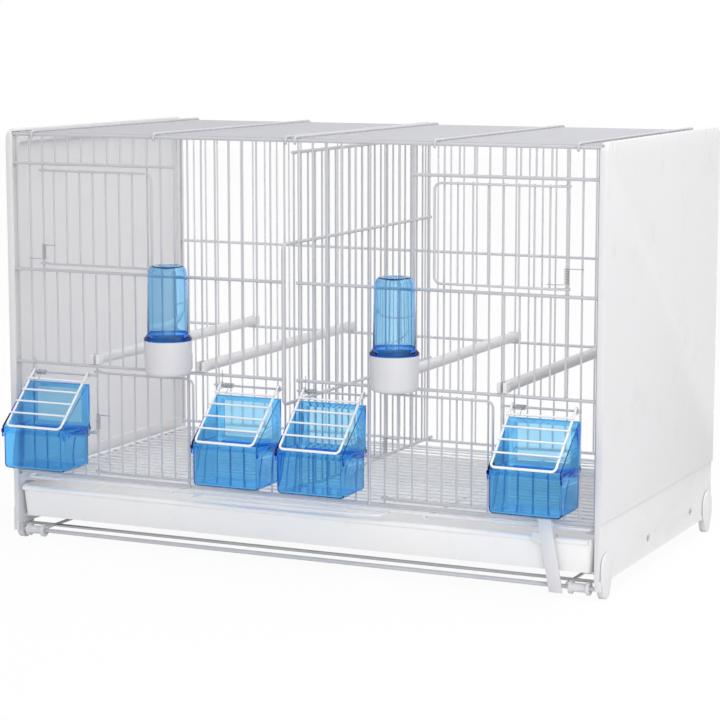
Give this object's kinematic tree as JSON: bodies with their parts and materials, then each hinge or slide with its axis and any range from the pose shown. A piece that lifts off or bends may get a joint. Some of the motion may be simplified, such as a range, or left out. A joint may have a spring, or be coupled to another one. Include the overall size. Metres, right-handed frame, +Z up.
{
  "type": "bird breeding cage",
  "caption": "Long wire cage between two white plastic side panels, with a slide-out divider, tray and floor, sprung doors, outside feeders, tube drinkers and perches.",
  "frame": {"origin": "middle of the whole footprint, outside feeders and drinkers included, on the surface under the feet", "axes": "+X along the front from left to right, +Y from the front to the back, +Z up"},
  "size_m": [0.5816, 0.3668, 0.383],
  "materials": {
    "white_plastic": "moulded, semi-matt",
    "white_enamel": "white coated wire",
    "grey_enamel": "grey coated wire",
    "tray_plastic": "moulded, semi-matt",
    "blue_plastic": "clear tinted",
    "cup_plastic": "moulded, semi-matt",
    "spring_steel": "bright wire"
  },
  "bodies": {
    "cage": {"left_side_panel": "white_plastic", "right_side_panel": "white_plastic", "front_grille": "white_enamel", "back_grille": "white_enamel", "roof_grille": "white_enamel", "base_frame": "grey_enamel", "foot_front_left": "white_plastic", "foot_front_right": "white_plastic", "foot_rear_left": "white_plastic", "foot_rear_right": "white_plastic", "feeder_1": "blue_plastic", "feeder_2": "blue_plastic", "feeder_3": "blue_plastic", "feeder_4": "blue_plastic", "upper_left_door_spring": "spring_steel", "upper_right_door_spring": "spring_steel", "lower_left_door_spring": "spring_steel", "lower_right_door_spring": "spring_steel", "flap_spring_1": "spring_steel", "flap_spring_2": "spring_steel", "flap_spring_3": "spring_steel", "flap_spring_4": "spring_steel"},
    "floor": {"floor_grille": "white_enamel"},
    "tray": {"tray": "tray_plastic", "tray_clip": "white_plastic"},
    "divider": {"divider": "white_enamel"},
    "upper_left_door": {"upper_left_door": "white_enamel"},
    "upper_right_door": {"upper_right_door": "white_enamel"},
    "lower_left_door": {"lower_left_door": "white_enamel"},
    "lower_right_door": {"lower_right_door": "white_enamel"},
    "feeder_flap_1": {"feeder_flap_1": "white_enamel"},
    "feeder_flap_2": {"feeder_flap_2": "white_enamel"},
    "feeder_flap_3": {"feeder_flap_3": "white_enamel"},
    "feeder_flap_4": {"feeder_flap_4": "white_enamel"},
    "drinker_cup_left": {"drinker_cup_left": "cup_plastic"},
    "drinker_tube_left": {"drinker_tube_left": "blue_plastic"},
    "drinker_cup_right": {"drinker_cup_right": "cup_plastic"},
    "drinker_tube_right": {"drinker_tube_right": "blue_plastic"},
    "perch_1": {"perch_1": "white_plastic"},
    "perch_2": {"perch_2": "white_plastic"},
    "perch_3": {"perch_3": "white_plastic"},
    "perch_4": {"perch_4": "white_plastic"},
    "left_roller": {"left_roller": "white_plastic"},
    "right_roller": {"right_roller": "white_plastic"}
  },
  "joints": [
    {"name": "floor_slide", "type": "slide", "parent": "cage", "child": "floor", "axis": [0, -1, 0], "range_m": [0, 0.29]},
    {"name": "tray_slide", "type": "slide", "parent": "floor", "child": "tray", "axis": [0, -1, 0], "range_m": [0, 0.3]},
    {"name": "divider_slide", "type": "slide", "parent": "cage", "child": "divider", "axis": [0, -1, 0], "range_m": [0, 0.3]},
    {"name": "upper_left_door_hinge", "type": "hinge", "parent": "cage", "child": "upper_left_door", "pos_m": [-0.2544, -0.13059, 0.2612], "axis": [0, 0, -1], "range_deg": [0, 110], "deforming": ["upper_left_door_spring"]},
    {"name": "upper_right_door_hinge", "type": "hinge", "parent": "cage", "child": "upper_right_door", "pos_m": [0.2544, -0.13059, 0.2612], "axis": [0, 0, 1], "range_deg": [0, 110], "deforming": ["upper_right_door_spring"]},
    {"name": "lower_left_door_hinge", "type": "hinge", "parent": "cage", "child": "lower_left_door", "pos_m": [-0.19939, -0.13059, 0.0712], "axis": [0, 0, -1], "range_deg": [0, 90], "deforming": ["lower_left_door_spring"]},
    {"name": "lower_right_door_hinge", "type": "hinge", "parent": "cage", "child": "lower_right_door", "pos_m": [0.08938, -0.13059, 0.0712], "axis": [0, 0, -1], "range_deg": [0, 90], "deforming": ["lower_right_door_spring"]},
    {"name": "feeder_flap_1_hinge", "type": "hinge", "parent": "cage", "child": "feeder_flap_1", "pos_m": [-0.23677, -0.13214, 0.16], "axis": [-1, 0, 0], "range_deg": [0, 75], "deforming": ["flap_spring_1"]},
    {"name": "feeder_flap_2_hinge", "type": "hinge", "parent": "cage", "child": "feeder_flap_2", "pos_m": [-0.04125, -0.13214, 0.16], "axis": [-1, 0, 0], "range_deg": [0, 75], "deforming": ["flap_spring_2"]},
    {"name": "feeder_flap_3_hinge", "type": "hinge", "parent": "cage", "child": "feeder_flap_3", "pos_m": [0.04125, -0.13214, 0.16], "axis": [-1, 0, 0], "range_deg": [0, 75], "deforming": ["flap_spring_3"]},
    {"name": "feeder_flap_4_hinge", "type": "hinge", "parent": "cage", "child": "feeder_flap_4", "pos_m": [0.23677, -0.13214, 0.16], "axis": [-1, 0, 0], "range_deg": [0, 75], "deforming": ["flap_spring_4"]},
    {"name": "drinker_cup_left_slide", "type": "slide", "parent": "cage", "child": "drinker_cup_left", "axis": [0, -1, 0], "range_m": [0, 0.06]},
    {"name": "drinker_tube_left_lift", "type": "slide", "parent": "drinker_cup_left", "child": "drinker_tube_left", "axis": [0, 0, 1], "range_m": [0, 0.06]},
    {"name": "drinker_cup_right_slide", "type": "slide", "parent": "cage", "child": "drinker_cup_right", "axis": [0, -1, 0], "range_m": [0, 0.06]},
    {"name": "drinker_tube_right_lift", "type": "slide", "parent": "drinker_cup_right", "child": "drinker_tube_right", "axis": [0, 0, 1], "range_m": [0, 0.06]},
    {"name": "perch_1_lift", "type": "slide", "parent": "cage", "child": "perch_1", "axis": [0, 0, 1], "range_m": [0, 0.03]},
    {"name": "perch_2_lift", "type": "slide", "parent": "cage", "child": "perch_2", "axis": [0, 0, 1], "range_m": [0, 0.03]},
    {"name": "perch_3_lift", "type": "slide", "parent": "cage", "child": "perch_3", "axis": [0, 0, 1], "range_m": [0, 0.03]},
    {"name": "perch_4_lift", "type": "slide", "parent": "cage", "child": "perch_4", "axis": [0, 0, 1], "range_m": [0, 0.03]},
    {"name": "left_roller_spin", "type": "hinge", "parent": "cage", "child": "left_roller", "pos_m": [-0.25985, -0.12859, 0.0093], "axis": [1, 0, 0], "continuous": true},
    {"name": "right_roller_spin", "type": "hinge", "parent": "cage", "child": "right_roller", "pos_m": [0.25985, -0.12859, 0.0093], "axis": [1, 0, 0], "continuous": true}
  ]
}
